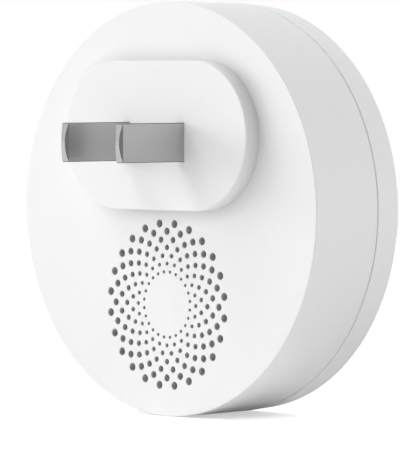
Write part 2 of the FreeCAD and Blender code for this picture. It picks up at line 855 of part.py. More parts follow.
def fusible_resistor():
    body = new_piece(
        "fusible_resistor",
        "fuse_right - fuse_length / 2",
        "fuse_up - plug_rise",
        f"{board_front} + fuse_radius + pin_height",
        sideways,
    )
    add_can(body, screw_sides, "fuse_radius", "fuse_length")
    fall = "(fuse_radius + pin_height)"
    for end, way in (("0", "-1"), ("fuse_length", "1")):
        wire = add_sketch(body, "YZ_Plane")
        knee = f"({end} + {way} * lead_reach)"
        outline(
            wire,
            [
                ("-pin_side / 2", end),
                ("-pin_side / 2", f"{knee} + {way} * pin_side"),
                (fall, f"{knee} + {way} * pin_side"),
                (fall, knee),
                ("pin_side / 2", knee),
                ("pin_side / 2", end),
            ],
        )
        add_pad(body, wire, "pin_side", both_ways=True)


def surge_varistor():
    # Round lacquered disc that stands on edge
    body = new_piece(
        "surge_varistor",
        "varistor_right",
        "varistor_up - plug_rise - varistor_thick / 2",
        f"{board_front} + pin_height + varistor_radius",
        upright,
    )
    add_can(body, speaker_sides, "varistor_radius", "varistor_thick")
    pins = add_sketch(body, "XY_Plane", lift="varistor_thick / 2")
    for side in (-1, 1):
        reach = "(varistor_radius + pin_height)"
        rectangle(pins, f"{side} * varistor_radius / 2", f"{reach} / 2", "pin_side", reach)
    add_pad(body, pins, "pin_side", both_ways=True)


def drive_inductor():
    # Drum core with its winding
    body = new_piece("drive_inductor", "coil_right", "coil_up - plug_rise", board_front)
    add_can(body, speaker_sides, "coil_radius", "coil_flange")
    add_can(body, speaker_sides, "coil_neck", "coil_height - coil_flange", lift="coil_flange / 2")
    add_can(body, speaker_sides, "coil_radius", "coil_flange", lift="coil_height - coil_flange")


def legged_chip(label, right, up, length, width, height, pitch, legs):
    # Moulded chip with bent legs along both long sides
    body = new_piece(label, right, f"{up} - plug_rise", board_front)
    case = add_sketch(body, "XY_Plane", lift="leg_stand")
    rectangle(case, "0", "0", length, width)
    add_pad(body, case, height)
    leg = add_sketch(body, "YZ_Plane", lift=f"-{pitch} * {(legs - 1) / 2}")
    half = f"({width} / 2)"
    middle = f"(leg_stand + {height} / 2)"
    for way in (-1, 1):
        outline(
            leg,
            [
                (f"{way} * ({half} - leg_thick)", middle),
                (f"{way} * ({half} + leg_reach / 2)", middle),
                (f"{way} * ({half} + leg_reach / 2)", "leg_thick"),
                (f"{way} * ({half} + leg_reach)", "leg_thick"),
                (f"{way} * ({half} + leg_reach)", "0"),
                (f"{way} * ({half} + leg_reach / 2 - leg_thick)", "0"),
                (f"{way} * ({half} + leg_reach / 2 - leg_thick)", f"{middle} - leg_thick"),
                (f"{way} * ({half} - leg_thick)", f"{middle} - leg_thick"),
            ],
        )
    pair = add_pad(body, leg, "leg_side", both_ways=True)
    repeat_along(body, [pair], case, f"{pitch} * {legs - 1}", legs)


def drive_transistors():
    # Two half-round transistors side by side
    right = "terminal_spacing / 2 + transistor_clear_right"
    body = new_piece("drive_transistors", right, f"{speaker_up} + transistor_clear_up", board_front)
    case = add_sketch(body, "XY_Plane", lift="pin_height")
    angles = [-30, 10, 50, 90, 130, 170, 210]
    radius = "transistor_radius"
    outline(case, [(f"{radius} * cos({angle})", f"{radius} * sin({angle})") for angle in angles])
    block = add_pad(body, case, "transistor_height")
    pins = add_square_pins(body, [("-chip_pitch", "0"), ("0", "0"), ("chip_pitch", "0")])
    repeat_along(body, [block, pins], case, "transistor_spacing", 2)


def timing_crystal():
    # Low metal can on a thin rim
    body = new_piece("timing_crystal", "crystal_right", "crystal_up - plug_rise", board_front)
    rim = add_sketch(body, "XY_Plane")
    capsule(rim, "crystal_length", "crystal_width")
    add_pad(body, rim, "crystal_rim")
    can = add_sketch(body, "XY_Plane", lift="crystal_rim")
    capsule(can, "crystal_length - 2 * crystal_rim", "crystal_width - 2 * crystal_rim")
    add_pad(body, can, "crystal_height")


def status_led():
    body = new_piece("status_led", "0", "lens_rise - plug_rise", board_front)
    add_square_pins(body, [("-led_radius / 2", "0"), ("led_radius / 2", "0")])
    add_can(body, screw_sides, "led_radius + led_rim", "2 * led_rim", lift="pin_height")
    add_can(body, screw_sides, "led_radius", "led_barrel", lift="pin_height + led_rim")


def indicator_lens():
    # Small clear lens, bonded behind the front wall by its flange
    body = new_piece("indicator_lens", "0", "lens_rise - plug_rise", ceiling)
    lens = add_sketch(body, "XY_Plane")
    disc(lens, "0", "0", "lens_radius")
    add_pad(body, lens, "cover_wall")
    add_can(body, speaker_sides, "lens_radius + lens_flange", "lens_flange", lift="-lens_flange")


def tact_switch():
    body = new_piece("tact_switch", "0", "-plug_rise", board_front)
    base = add_sketch(body, "XY_Plane")
    rectangle(base, "0", "0", "switch_side", "switch_side")
    add_pad(body, base, "switch_height")
    well = add_sketch(body, "XY_Plane", lift="switch_height")
    polygon(well, "0", "0", "plunger_radius + button_gap", screw_sides)
    cut_pocket(body, well, "switch_well")


def switch_plunger():
    body = new_piece("switch_plunger", "0", "-plug_rise", f"{board_front} + {plunger_top} - plunger_length")
    add_can(body, screw_sides, "plunger_radius", "plunger_length")


def mode_button():
    # Round push button: a stem on the switch, a flange behind the cover, a cap
    body = new_piece("mode_button", "0", "-plug_rise", ceiling)
    flange_low = "(flange_play + flange_thick)"
    stem_low = f"({ceiling} - {board_front} - {plunger_top})"
    add_can(body, screw_sides, "stem_radius", f"{stem_low} - flange_play", lift=f"-{stem_low}")
    add_can(body, speaker_sides, "flange_radius", "flange_thick", lift=f"-{flange_low}")
    cap = add_sketch(body, "XZ_Plane")
    cap_top = "cover_wall + button_proud"
    outline(
        cap,
        [
            ("0", f"-{flange_low}"),
            ("button_radius", f"-{flange_low}"),
            ("button_radius", f"{cap_top} - button_edge_bevel"),
            ("button_radius - button_edge_bevel", cap_top),
            ("0", cap_top),
        ],
    )
    revolve(body, cap)


rear_shell()
front_cover()
blade_carrier()
blade_retainer()
retainer_screws()
for side, name in ((-1, "left"), (1, "right")):
    plug_blade(side, "plug_blade_" + name)
    contact_clip(side, "contact_clip_" + name)
main_board()
board_screws()
speaker_layer("dust_mesh", "0", "mesh_thick")
speaker_layer("transducer_gasket", "mesh_thick", "gasket_thick", bore=speaker_bore)
speaker_layer("transducer_diaphragm", diaphragm_plane, "diaphragm_thick")
speaker_layer("piezo_disc", frame_plane, "piezo_thick", radius="piezo_radius")
transducer_frame()
transducer_terminals()
transducer_lead(-1, "transducer_lead_red")
transducer_lead(1, "transducer_lead_black")
film_capacitor()
filter_capacitor()
storage_capacitor()
fusible_resistor()
surge_varistor()
drive_inductor()
legged_chip(
    "bridge_rectifier",
    "rectifier_right",
    "rectifier_up",
    "rectifier_length",
    "rectifier_width",
    "rectifier_height",
    "rectifier_pitch",
    2,
)
legged_chip(
    "driver_chip",
    "chip_right",
    "chip_up",
    "chip_length",
    "chip_width",
    "chip_height",
    "chip_pitch",
    4,
)
drive_transistors()
timing_crystal()
status_led()
indicator_lens()
tact_switch()
switch_plunger()
mode_button()

doc.recompute()
for thing in doc.Objects:
    if "Invalid" in thing.State or "Error" in thing.State:
        raise RuntimeError("%s did not recompute: %s" % (thing.Label, thing.State))
for body in pieces:
    if body.Shape.isNull() or not body.Shape.isValid() or not body.Shape.Solids:
        raise RuntimeError("%s has no valid solid" % body.Label)

os.makedirs("parts", exist_ok=True)
for body in pieces:
    body.Shape.exportStep("parts/%s.step" % body.Label)
    print("%-24s %d solids, %.1f mm3" % (body.Label, len(body.Shape.Solids), body.Shape.Volume))
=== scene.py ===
import json
import math

import bmesh
import bpy
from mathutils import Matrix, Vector


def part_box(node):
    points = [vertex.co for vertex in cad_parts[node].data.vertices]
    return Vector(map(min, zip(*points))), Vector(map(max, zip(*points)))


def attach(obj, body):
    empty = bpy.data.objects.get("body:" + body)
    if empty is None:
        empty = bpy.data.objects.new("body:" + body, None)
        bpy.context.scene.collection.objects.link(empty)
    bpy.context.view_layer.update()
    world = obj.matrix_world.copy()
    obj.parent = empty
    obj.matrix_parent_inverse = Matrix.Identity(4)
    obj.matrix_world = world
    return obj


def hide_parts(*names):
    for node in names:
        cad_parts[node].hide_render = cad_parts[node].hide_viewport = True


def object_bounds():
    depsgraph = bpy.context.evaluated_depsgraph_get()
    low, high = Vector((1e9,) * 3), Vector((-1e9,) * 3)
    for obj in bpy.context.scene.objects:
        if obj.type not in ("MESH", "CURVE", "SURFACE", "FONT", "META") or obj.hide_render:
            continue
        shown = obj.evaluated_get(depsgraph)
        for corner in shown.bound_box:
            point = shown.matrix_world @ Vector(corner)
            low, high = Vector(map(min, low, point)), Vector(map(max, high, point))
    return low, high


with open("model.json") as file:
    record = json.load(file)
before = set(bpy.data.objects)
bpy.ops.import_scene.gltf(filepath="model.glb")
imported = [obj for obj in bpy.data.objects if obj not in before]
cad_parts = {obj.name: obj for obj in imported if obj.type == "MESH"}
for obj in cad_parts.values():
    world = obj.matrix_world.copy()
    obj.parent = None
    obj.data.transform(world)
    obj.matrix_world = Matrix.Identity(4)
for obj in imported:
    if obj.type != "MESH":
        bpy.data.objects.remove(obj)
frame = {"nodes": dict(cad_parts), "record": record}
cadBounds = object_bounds()
record = frame["record"]
nodes = frame["nodes"]
mm = 0.001
overlap = 0.5 * mm  # how far one solid runs into another before they are joined or cut
print("frame loaded:", len(nodes), "nodes")


def middleOf(node):
    # The middle of a node's box, across and up
    low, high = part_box(node)
    return (low.x + high.x) / 2, (low.z + high.z) / 2


def shares(count):
    # Turns that go round the axis in equal shares
    return [math.tau * i / count for i in range(count)]


# What the shell and the cover share; their size and place come from the frame
housing = {
    "wall": 2.0 * mm,
    "floor": 2.0 * mm,
    "segments": 288,
    "seamInset": 0.14 * mm,  # the side draws in towards the front
    "frontInset": 0.4 * mm,
    "rearRound": 0.22 * mm,
    "frontRound": 1.0 * mm,
    "lipRound": 0.08 * mm,
    "partingGap": 0.26 * mm,
    "partingDepth": 0.6 * mm,
}
shellLow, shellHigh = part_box("rear_shell")
outerRadius = (shellHigh.x - shellLow.x) / 2
innerRadius = outerRadius - housing["wall"]
seamRadius = outerRadius - housing["seamInset"]
frontRadius = outerRadius - housing["frontInset"]
axisHeight = (shellHigh.z + shellLow.z) / 2
bodyAxis = (0.0, axisHeight)
bossFace = shellHigh.y
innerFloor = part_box("dust_mesh")[1].y
rearFace = innerFloor + housing["floor"]
seam = shellLow.y
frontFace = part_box("front_cover")[0].y
ceiling = frontFace + housing["wall"]
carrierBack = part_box("blade_carrier")[1].y
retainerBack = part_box("blade_retainer")[1].y


def newPiece(name, mesh):
    piece = bpy.data.objects.new(name, mesh)
    bpy.context.scene.collection.objects.link(piece)
    return piece


def skin(name, stacks):
    # Each stack is a list of equal loops: neighbours are joined and the two ends are capped.
    mesh = bpy.data.meshes.new(name)
    work = bmesh.new()
    for loops in stacks:
        rows = [[work.verts.new(point) for point in loop] for loop in loops]
        for low, high in zip(rows, rows[1:]):
            for i in range(len(low)):
                work.faces.new((low[i - 1], low[i], high[i], high[i - 1]))
        work.faces.new(rows[0])
        work.faces.new(reversed(rows[-1]))
    bmesh.ops.recalc_face_normals(work, faces=work.faces[:])
    work.to_mesh(mesh)
    work.free()
    return newPiece(name, mesh)


def circle(radius, y, x=0.0, z=axisHeight, segments=housing["segments"], turn=0.0):
    angles = [turn + math.tau * i / segments for i in range(segments)]
    return [(x + radius * math.cos(a), y, z + radius * math.sin(a)) for a in angles]


def turned(profile, **where):
    # One circle for each radius and depth of a profile
    return [circle(radius, y, **where) for radius, y in profile]


def stadium(length, width, y, inset=0.0, z=0.0, steps=48):
    # A long loop with half-round ends
    radius = width / 2 - inset
    reach = (length - width) / 2
    loop = []
    for side, first in ((1, -90), (-1, 90)):
        for i in range(steps + 1):
            angle = math.radians(first + 180 * i / steps)
            loop.append((side * reach + radius * math.cos(angle), y, z + radius * math.sin(angle)))
    return loop


def block(low, high, turn=0.0, centre=None):
    # A box between two corners, turned about centre
    loops = []
    for y in (low[1], high[1]):
        corners = [(low[0], low[2]), (high[0], low[2]), (high[0], high[2]), (low[0], high[2])]
        loops.append([turnPoint(x, y, z, turn, centre) for x, z in corners])
    return loops


def turnPoint(x, y, z, turn, centre):
    # Turns a point about an axis that runs along Y through centre
    if not turn:
        return (x, y, z)
    dx, dz = x - centre[0], z - centre[1]
    c, s = math.cos(turn), math.sin(turn)
    return (centre[0] + c * dx - s * dz, y, centre[1] + s * dx + c * dz)


def rounded(radius, y, size, towards, steps=6):
    # Quarter round from a wall to a flat face at y, which looks along +Y (1) or -Y (-1)
    angles = [math.radians(90 * i / steps) for i in range(steps + 1)]
    return [(radius - size * (1 - math.cos(a)), y - towards * size * (1 - math.sin(a))) for a in angles]


def cut(piece, tool, operation="DIFFERENCE"):
    step = piece.modifiers.new("cut", "BOOLEAN")
    step.operation = operation
    step.solver = "EXACT"
    step.object = tool
    ready = piece.evaluated_get(bpy.context.evaluated_depsgraph_get())
    mesh = bpy.data.meshes.new_from_object(ready)
    piece.modifiers.remove(step)
    piece.data = mesh
    bpy.data.objects.remove(tool)


def place(piece, node, body, finish, sharpAngle=35):
    # Faces that meet at more than sharpAngle degrees are shaded apart.
    mesh = piece.data
    mesh.polygons.foreach_set("use_smooth", [True] * len(mesh.polygons))
    mesh.set_sharp_from_angle(angle=math.radians(sharpAngle))
    even = piece.modifiers.new("evenNormals", "WEIGHTED_NORMAL")
    even.keep_sharp = True
    mesh.materials.clear()
    mesh.materials.append(finishes[finish])
    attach(piece, body)
    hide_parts(node)


def newGroup(name, inputs, outputs):
    group = bpy.data.node_groups.new(name, "ShaderNodeTree")
    for label, kind, default in inputs:
        socket = group.interface.new_socket(name=label, in_out="INPUT", socket_type=kind)
        socket.default_value = default
    for label, kind in outputs:
        group.interface.new_socket(name=label, in_out="OUTPUT", socket_type=kind)
    return group, group.nodes.new("NodeGroupInput"), group.nodes.new("NodeGroupOutput")


def addNode(tree, kind, **settings):
    node = tree.nodes.new(kind)
    for key, value in settings.items():
        setattr(node, key, value)
    return node


def calculate(tree, operation, first, second, third=None):
    node = addNode(tree, "ShaderNodeMath", operation=operation)
    for socket, value in zip(node.inputs, (first, second, third)):
        if value is None:
            continue
        if isinstance(value, (int, float)):
            socket.default_value = value
        else:
            tree.links.new(value, socket)
    return node.outputs[0]


# How the shared effects are mixed
effect = {
    "grainDetail": 3,
    "cloudDetail": 2,
    "grainShare": 0.4,  # of a change of tint; the clouds have the rest
    "cloudShare": 0.6,
    "middle": 0.5,  # the mean of the mixed noise
    # how far and how finely the painted shade in corners and recesses looks around
    "recessReach": 3 * mm,
    "recessSamples": 8,
    "relief": 0.5,
}
surfaceInputs = [
    ("Colour", "NodeSocketColor", (0.8, 0.8, 0.8, 1)),
    ("Roughness", "NodeSocketFloat", 0.5),
    ("Grain", "NodeSocketFloat", 3000.0),
    ("Mottle", "NodeSocketFloat", 0.03),
    ("Unevenness", "NodeSocketFloat", 0.05),
    ("PaintedShade", "NodeSocketFloat", 0.0),
]
surfaceOutputs = [
    ("Colour", "NodeSocketColor"),
    ("Roughness", "NodeSocketFloat"),
    ("Height", "NodeSocketFloat"),
]


def surfaceGroup(name, stretch, cloudScale, woven=False, shadeRecesses=False):
    # Fine grain as height, soft clouds as small changes of colour and roughness, and, for the casing,
    # painted shade in corners and recesses
    group, source, sink = newGroup(name, surfaceInputs, surfaceOutputs)
    coordinates = addNode(group, "ShaderNodeTexCoord")
    scaled = addNode(group, "ShaderNodeMapping")
    scaled.inputs["Scale"].default_value = stretch
    group.links.new(coordinates.outputs["Object"], scaled.inputs["Vector"])
    grain = addNode(group, "ShaderNodeTexNoise")
    grain.inputs["Detail"].default_value = effect["grainDetail"]
    group.links.new(scaled.outputs["Vector"], grain.inputs["Vector"])
    group.links.new(source.outputs["Grain"], grain.inputs["Scale"])
    clouds = addNode(group, "ShaderNodeTexNoise")
    clouds.inputs["Scale"].default_value = cloudScale
    clouds.inputs["Detail"].default_value = effect["cloudDetail"]
    group.links.new(scaled.outputs["Vector"], clouds.inputs["Vector"])
    height = grain.outputs["Fac"]
    if woven:
        height = weaveHeight(group, coordinates.outputs["Object"], source.outputs["Grain"])
    cloudy = calculate(group, "MULTIPLY", clouds.outputs["Fac"], effect["cloudShare"])
    blend = calculate(group, "MULTIPLY_ADD", height, effect["grainShare"], cloudy)
    swing = calculate(group, "SUBTRACT", blend, effect["middle"])
    tint = calculate(group, "MULTIPLY_ADD", swing, source.outputs["Mottle"], 1.0)
    # Painted shade: the colour is darkened in corners and recesses.
    if shadeRecesses:
        tint = calculate(group, "SUBTRACT", tint, paintedRecessShade(group, source.outputs["PaintedShade"]))
    shade = addNode(group, "ShaderNodeVectorMath", operation="SCALE")
    group.links.new(source.outputs["Colour"], shade.inputs[0])
    group.links.new(tint, shade.inputs["Scale"])
    uneven, base = source.outputs["Unevenness"], source.outputs["Roughness"]
    rough = calculate(group, "MULTIPLY_ADD", swing, uneven, base)
    group.links.new(shade.outputs["Vector"], sink.inputs["Colour"])
    group.links.new(rough, sink.inputs["Roughness"])
    group.links.new(height, sink.inputs["Height"])
    return group


def paintedRecessShade(group, depth):
    # Painted shade: the colour is made a little darker in corners and recesses, where ambient occlusion
    # finds nearby faces.
    samples = effect["recessSamples"]
    recess = addNode(group, "ShaderNodeAmbientOcclusion", samples=samples, only_local=True)
    recess.inputs["Distance"].default_value = effect["recessReach"]
    closed = calculate(group, "SUBTRACT", 1.0, recess.outputs["AO"])
    return calculate(group, "MULTIPLY", closed, depth)


def weaveHeight(group, position, scale):
    # Two crossed sets of threads
    waves = []
    for direction in ("X", "Z"):
        wave = addNode(group, "ShaderNodeTexWave", bands_direction=direction)
        group.links.new(position, wave.inputs["Vector"])
        group.links.new(scale, wave.inputs["Scale"])
        waves.append(wave.outputs["Fac"])
    return calculate(group, "MAXIMUM", *waves)


groups = {
    "moulded": surfaceGroup("mouldedGrain", stretch=(1, 1, 1), cloudScale=140.0),
    # The casing's group also paints shade into its colour in corners and recesses.
    "casing": surfaceGroup("casingGrainAndPaintedShade", stretch=(1, 1, 1), cloudScale=140.0, shadeRecesses=True),
    "drawn": surfaceGroup("drawnMetal", stretch=(1, 0.04, 1), cloudScale=500.0),
    "woven": surfaceGroup("wovenThreads", stretch=(1, 1, 1), cloudScale=200.0, woven=True),
}

# What a finish has where its own entry says nothing else; depth is the relief's height in millimetres
plainLook = {
    "group": "moulded",
    "roughness": 0.5,
    "grain": 3000,
    "mottle": 0.02,
    "unevenness": 0.08,
    "paintedshade": 0.0,
    "depth": 0.02,
    "metallic": 0.0,
    "coat": 0.0,
    "clear": 0.0,
}
metalLook = {"group": "drawn", "metallic": 1.0}
casingLook = {
    "group": "casing",
    "colour": (0.900, 0.902, 0.905),
    "grain": 5200,
    # how strongly shade is painted into the casing's corners and recesses
    "paintedshade": 0.35,
    "depth": 0.012,
}
# One entry for each slot of the record, and two of the scene's own: the blades' sheared edges, painted
# darker as shade, and the painted shade on the walls of the grille's holes
finishLooks = {
    "shell_white": {**casingLook, "roughness": 0.5},
    "cover_white": {**casingLook, "roughness": 0.46},
    "button_white": {"colour": (0.88, 0.88, 0.88), "roughness": 0.28, "grain": 4000, "depth": 0.005},
    "insulator_black": {"colour": (0.05, 0.05, 0.05), "grain": 3800},
    "frame_black": {"colour": (0.06, 0.06, 0.06), "roughness": 0.45, "grain": 3800},
    "screw_steel": {**metalLook, "colour": (0.62, 0.62, 0.60), "roughness": 0.3},
    "blade_nickel": {**metalLook, "colour": (0.49, 0.49, 0.485), "roughness": 0.24},
    # sheared, rougher metal, its colour painted darker as shade
    "sheared_nickel_painted_shade": {**metalLook, "colour": (0.175, 0.175, 0.175)},
    "spring_bronze": {**metalLook, "colour": (0.72, 0.52, 0.32), "roughness": 0.3},
    "board_green": {"colour": (0.05, 0.28, 0.12), "roughness": 0.3, "grain": 2500, "coat": 0.3},
    "mesh_black": {
        "group": "woven", "colour": (0.13, 0.13, 0.13), "roughness": 0.8, "grain": 900, "depth": 0.06,
    },
    # painted shade for the walls of the grille's holes
    "hole_painted_shade": {"colour": (0.56, 0.56, 0.555), "roughness": 0.8, "grain": 5200, "depth": 0.012},
    "foam_black": {"colour": (0.06, 0.06, 0.06), "roughness": 0.9, "grain": 2200, "depth": 0.08},
    "diaphragm_aluminium": {**metalLook, "colour": (0.75, 0.75, 0.76), "roughness": 0.35},
    "piezo_ceramic": {**metalLook, "colour": (0.76, 0.66, 0.42), "roughness": 0.35},
    "terminal_tin": {**metalLook, "colour": (0.72, 0.72, 0.70), "roughness": 0.35},
    "lead_red": {"colour": (0.60, 0.05, 0.04)},
    "lead_black": {"colour": (0.04, 0.04, 0.04)},
    "film_yellow": {"colour": (0.85, 0.68, 0.12), "roughness": 0.4},
    "can_sleeve": {"colour": (0.08, 0.08, 0.12), "roughness": 0.3, "coat": 0.3},
    "resistor_grey": {"colour": (0.42, 0.52, 0.48), "roughness": 0.45},
    "varistor_blue": {"colour": (0.10, 0.24, 0.55), "roughness": 0.35, "coat": 0.4},
    "ferrite_dark": {"colour": (0.12, 0.12, 0.12), "roughness": 0.6, "grain": 2200, "depth": 0.05},
    "chip_black": {"colour": (0.06, 0.06, 0.06), "roughness": 0.55},
    "led_clear": {"colour": (0.85, 0.92, 0.95), "roughness": 0.08, "clear": 0.9},
    "lens_clear": {"colour": (0.88, 0.92, 0.94), "roughness": 0.2, "clear": 0.9},
}


def makeFinish(name, look):
    material = bpy.data.materials.new(name)
    material.use_nodes = True
    tree = material.node_tree
    shader = tree.nodes["Principled BSDF"]
    surface = addNode(tree, "ShaderNodeGroup", node_tree=groups[look["group"]])
    surface.inputs["Colour"].default_value = (*look["colour"], 1)
    for label in ("Roughness", "Grain", "Mottle", "Unevenness", "PaintedShade"):
        surface.inputs[label].default_value = look[label.lower()]
    relief = addNode(tree, "ShaderNodeBump")
    relief.inputs["Strength"].default_value = effect["relief"]
    relief.inputs["Distance"].default_value = look["depth"] * mm
    tree.links.new(surface.outputs["Height"], relief.inputs["Height"])
    tree.links.new(surface.outputs["Colour"], shader.inputs["Base Color"])
    tree.links.new(surface.outputs["Roughness"], shader.inputs["Roughness"])
    tree.links.new(relief.outputs["Normal"], shader.inputs["Normal"])
    shader.inputs["Metallic"].default_value = look["metallic"]
    shader.inputs["Coat Weight"].default_value = look["coat"]
    shader.inputs["Transmission Weight"].default_value = look["clear"]
    return material


finishes = {name: makeFinish(name, {**plainLook, **look}) for name, look in finishLooks.items()}
slotOf = {part["node"]: part["material_slot"] for part in record["subparts"]}
for nodeName, node in nodes.items():
    node.data.materials.clear()
    node.data.materials.append(finishes[slotOf[nodeName]])
print("finishes made:", len(finishes))


# Boss, slots, posts, seat of the sound unit and catch windows
rearShell = {
    "bossLength": 42.4 * mm,
    "bossWidth": 24.4 * mm,
    "bossRound": 0.18 * mm,
    "bossFloor": 2.0 * mm,
    "slotPlay": 0.01 * mm,
    "clampSpacing": 30.0 * mm,
    "clampPost": 2.2 * mm,
    "boardPosts": 3,
    "postCircle": 27.5 * mm,
    "postRadius": 2.4 * mm,
    "postSegments": 40,
    "pilotRadius": 1.0 * mm,
    "pilotDepth": 3.9 * mm,
    "pilotSegments": 24,
    "ribThick": 1.0 * mm,
    "ribHeight": 5.0 * mm,
    "seats": 3,
    "seatGap": 0.2 * mm,
    "seatWall": 1.0 * mm,
    "seatHeight": 4.0 * mm,
    "seatWidth": 5.0 * mm,
    "hookLip": 0.7 * mm,
    "hookPlay": 0.05 * mm,
    "snaps": 4,
    "snapStart": 1.2 * mm,
    "snapHeight": 1.4 * mm,
    "snapWidth": 10.0 * mm,
    "snapDepth": 0.9 * mm,
}
grille = {
    "rings": 7,
    "holesPerRing": 24,
    "firstRing": 5.38 * mm,
    "ringStep": 1.33 * mm,
    "firstHole": 0.27 * mm,
    "lastHole": 0.66 * mm,
    "flare": 0.05 * mm,
    "segments": 24,
    "wallTilt": 0.1,  # how far a face may lean and still be a hole's wall
}
grilleHeight = middleOf("dust_mesh")[1]
grilleAxis = (0.0, grilleHeight)
basketLow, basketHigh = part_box("transducer_frame")
seatInner = (basketHigh.x - basketLow.x) / 2 + rearShell["seatGap"]
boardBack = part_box("main_board")[1].y


def buildRearShell():
    shape = rearShell
    profile = [(innerRadius, innerFloor), (innerRadius, seam)]
    profile += reversed(rounded(seamRadius, seam, housing["lipRound"], -1, steps=3))
    profile += rounded(outerRadius, rearFace, housing["rearRound"], 1)
    # Without this turn by half a step, the cuts leave a few stray faces.
    halfStep = math.pi / housing["segments"]
    shell = skin("rearShell", [turned(profile, turn=halfStep)])

    length, width = shape["bossLength"], shape["bossWidth"]
    bossLoops = [stadium(length, width, rearFace - overlap)]
    for radius, y in rounded(width / 2, bossFace, shape["bossRound"], 1, steps=5):
        bossLoops.append(stadium(length, width, y, width / 2 - radius))
    cut(shell, skin("boss", [bossLoops]), "UNION")

    depths = (innerFloor - overlap, bossFace - shape["bossFloor"])
    hollowLoops = [stadium(length, width, y, housing["wall"]) for y in depths]
    cut(shell, skin("hollow", [hollowLoops]))
    cut(shell, skin("slots", bladeSlots()))

    cut(shell, skin("boardRibs", boardRibs()), "UNION")
    cut(shell, skin("innerForms", innerForms()), "UNION")
    cut(shell, skin("pilots", pilotHoles() + catchWindows()))
    cut(shell, skin("holes", grilleHoles()))
    place(shell, "rear_shell", "housing", "shell_white")
    # The grille holes' walls get painted shade.
    paintHoleShade(shell)


def paintHoleShade(shell):
    # Painted shade: little light comes back out of the grille's holes, so their walls are painted grey.
    shell.data.materials.append(finishes["hole_painted_shade"])
    lastRing = grille["firstRing"] + (grille["rings"] - 1) * grille["ringStep"]
    reach = lastRing + grille["lastHole"] + overlap
    for face in shell.data.polygons:
        spot = face.center
        near = math.hypot(spot.x, spot.z - grilleHeight) < reach
        inside = innerFloor - grille["flare"] < spot.y < rearFace - grille["flare"]
        upright = abs(face.normal.y) < grille["wallTilt"]
        if near and inside and upright:
            face.material_index = 1


def bladeSlots():
    slots = []
    for node in bladePieces.values():
        x, z = middleOf(node)
        thick = blade["thick"] / 2 + rearShell["slotPlay"]
        width = blade["width"] / 2 + rearShell["slotPlay"]
        low = (x - thick, carrierBack - overlap, z - width)
        high = (x + thick, bossFace + overlap, z + width)
        slots.append(block(low, high))
    return slots


def boardRibs():
    # Each board post is tied to the side wall.
    shape = rearShell
    half = shape["ribThick"] / 2
    low = (-half, innerFloor - shape["ribHeight"], axisHeight + shape["postCircle"])
    high = (half, innerFloor + overlap, axisHeight + innerRadius + overlap)
    return [block(low, high, turn, bodyAxis) for turn in shares(shape["boardPosts"])]


def boardPosts():
    # Where the board's posts stand, across and up
    height = axisHeight + rearShell["postCircle"]
    spots = [turnPoint(0.0, 0.0, height, turn, bodyAxis) for turn in shares(rearShell["boardPosts"])]
    return [(x, z) for x, _, z in spots]


def clampPosts():
    # Where the posts that hold the blades' retainer stand, across and up
    return [(side * rearShell["clampSpacing"] / 2, 0.0) for side in (-1, 1)]


def innerForms():
    # Board posts, the two clamp posts, and the stops and hooks of the sound unit
    shape = rearShell
    segments = shape["postSegments"]
    forms = []
    for x, z in boardPosts():
        ends = (innerFloor + overlap, boardBack)
        forms.append([circle(shape["postRadius"], y, x, z, segments) for y in ends])
    for x, z in clampPosts():
        ends = (bossFace - shape["bossFloor"] + overlap, retainerBack)
        forms.append([circle(shape["clampPost"], y, x, z, segments) for y in ends])
    base = innerFloor + overlap
    seatOuter = seatInner + shape["seatWall"]
    lipLow = basketLow.y - shape["hookPlay"]
    lipHigh = lipLow - shape["hookLip"]
    half = shape["seatWidth"] / 2
    stopLow = (-half, innerFloor - shape["seatHeight"], grilleHeight - seatInner - shape["seatWall"])
    stopHigh = (half, base, grilleHeight - seatInner)
    section = [
        (base, seatInner),
        (base, seatOuter),
        (lipHigh, seatOuter),
        (lipHigh, seatInner - shape["hookLip"]),
        (lipLow, seatInner - shape["hookLip"]),
        (lipLow, seatInner),
    ]
    for turn in shares(shape["seats"]):
        forms.append(block(stopLow, stopHigh, turn, grilleAxis))
        forms.append([
            [turnPoint(x, y, grilleHeight + rise, turn, grilleAxis) for y, rise in section]
            for x in (-half, half)
        ])
    return forms


def pilotHoles():
    shape = rearShell
    fronts = [(x, z, boardBack) for x, z in boardPosts()]
    fronts += [(x, z, retainerBack) for x, z in clampPosts()]
    holes = []
    for x, z, front in fronts:
        depths = (front + shape["pilotDepth"], front - overlap)
        holes.append([circle(shape["pilotRadius"], y, x, z, shape["pilotSegments"]) for y in depths])
    return holes


def catchWindows():
    shape = rearShell
    half = shape["snapWidth"] / 2
    start = seam + shape["snapStart"]
    low = (innerRadius - shape["snapDepth"], start, axisHeight - half)
    high = (innerRadius + shape["snapDepth"], start + shape["snapHeight"], axisHeight + half)
    return [block(low, high, turn, bodyAxis) for turn in shares(shape["snaps"])]


def grilleHoles():
    # The holes grow from ring to ring, and every other ring is turned by half a step.
    cutters = []
    growth = grille["lastHole"] - grille["firstHole"]
    for ring in range(grille["rings"]):
        distance = grille["firstRing"] + ring * grille["ringStep"]
        radius = grille["firstHole"] + growth * ring / (grille["rings"] - 1)
        for i in range(grille["holesPerRing"]):
            angle = math.tau * (i + (0.5 if ring % 2 == 0 else 0)) / grille["holesPerRing"]
            x, z = -distance * math.sin(angle), grilleHeight + distance * math.cos(angle)
            steps = [
                (radius + 2 * grille["flare"], rearFace + grille["flare"]),
                (radius, rearFace - grille["flare"]),
                (radius, innerFloor - overlap / 2),
            ]
            cutters.append(turned(steps, x=x, z=z, segments=grille["segments"]))
    return cutters


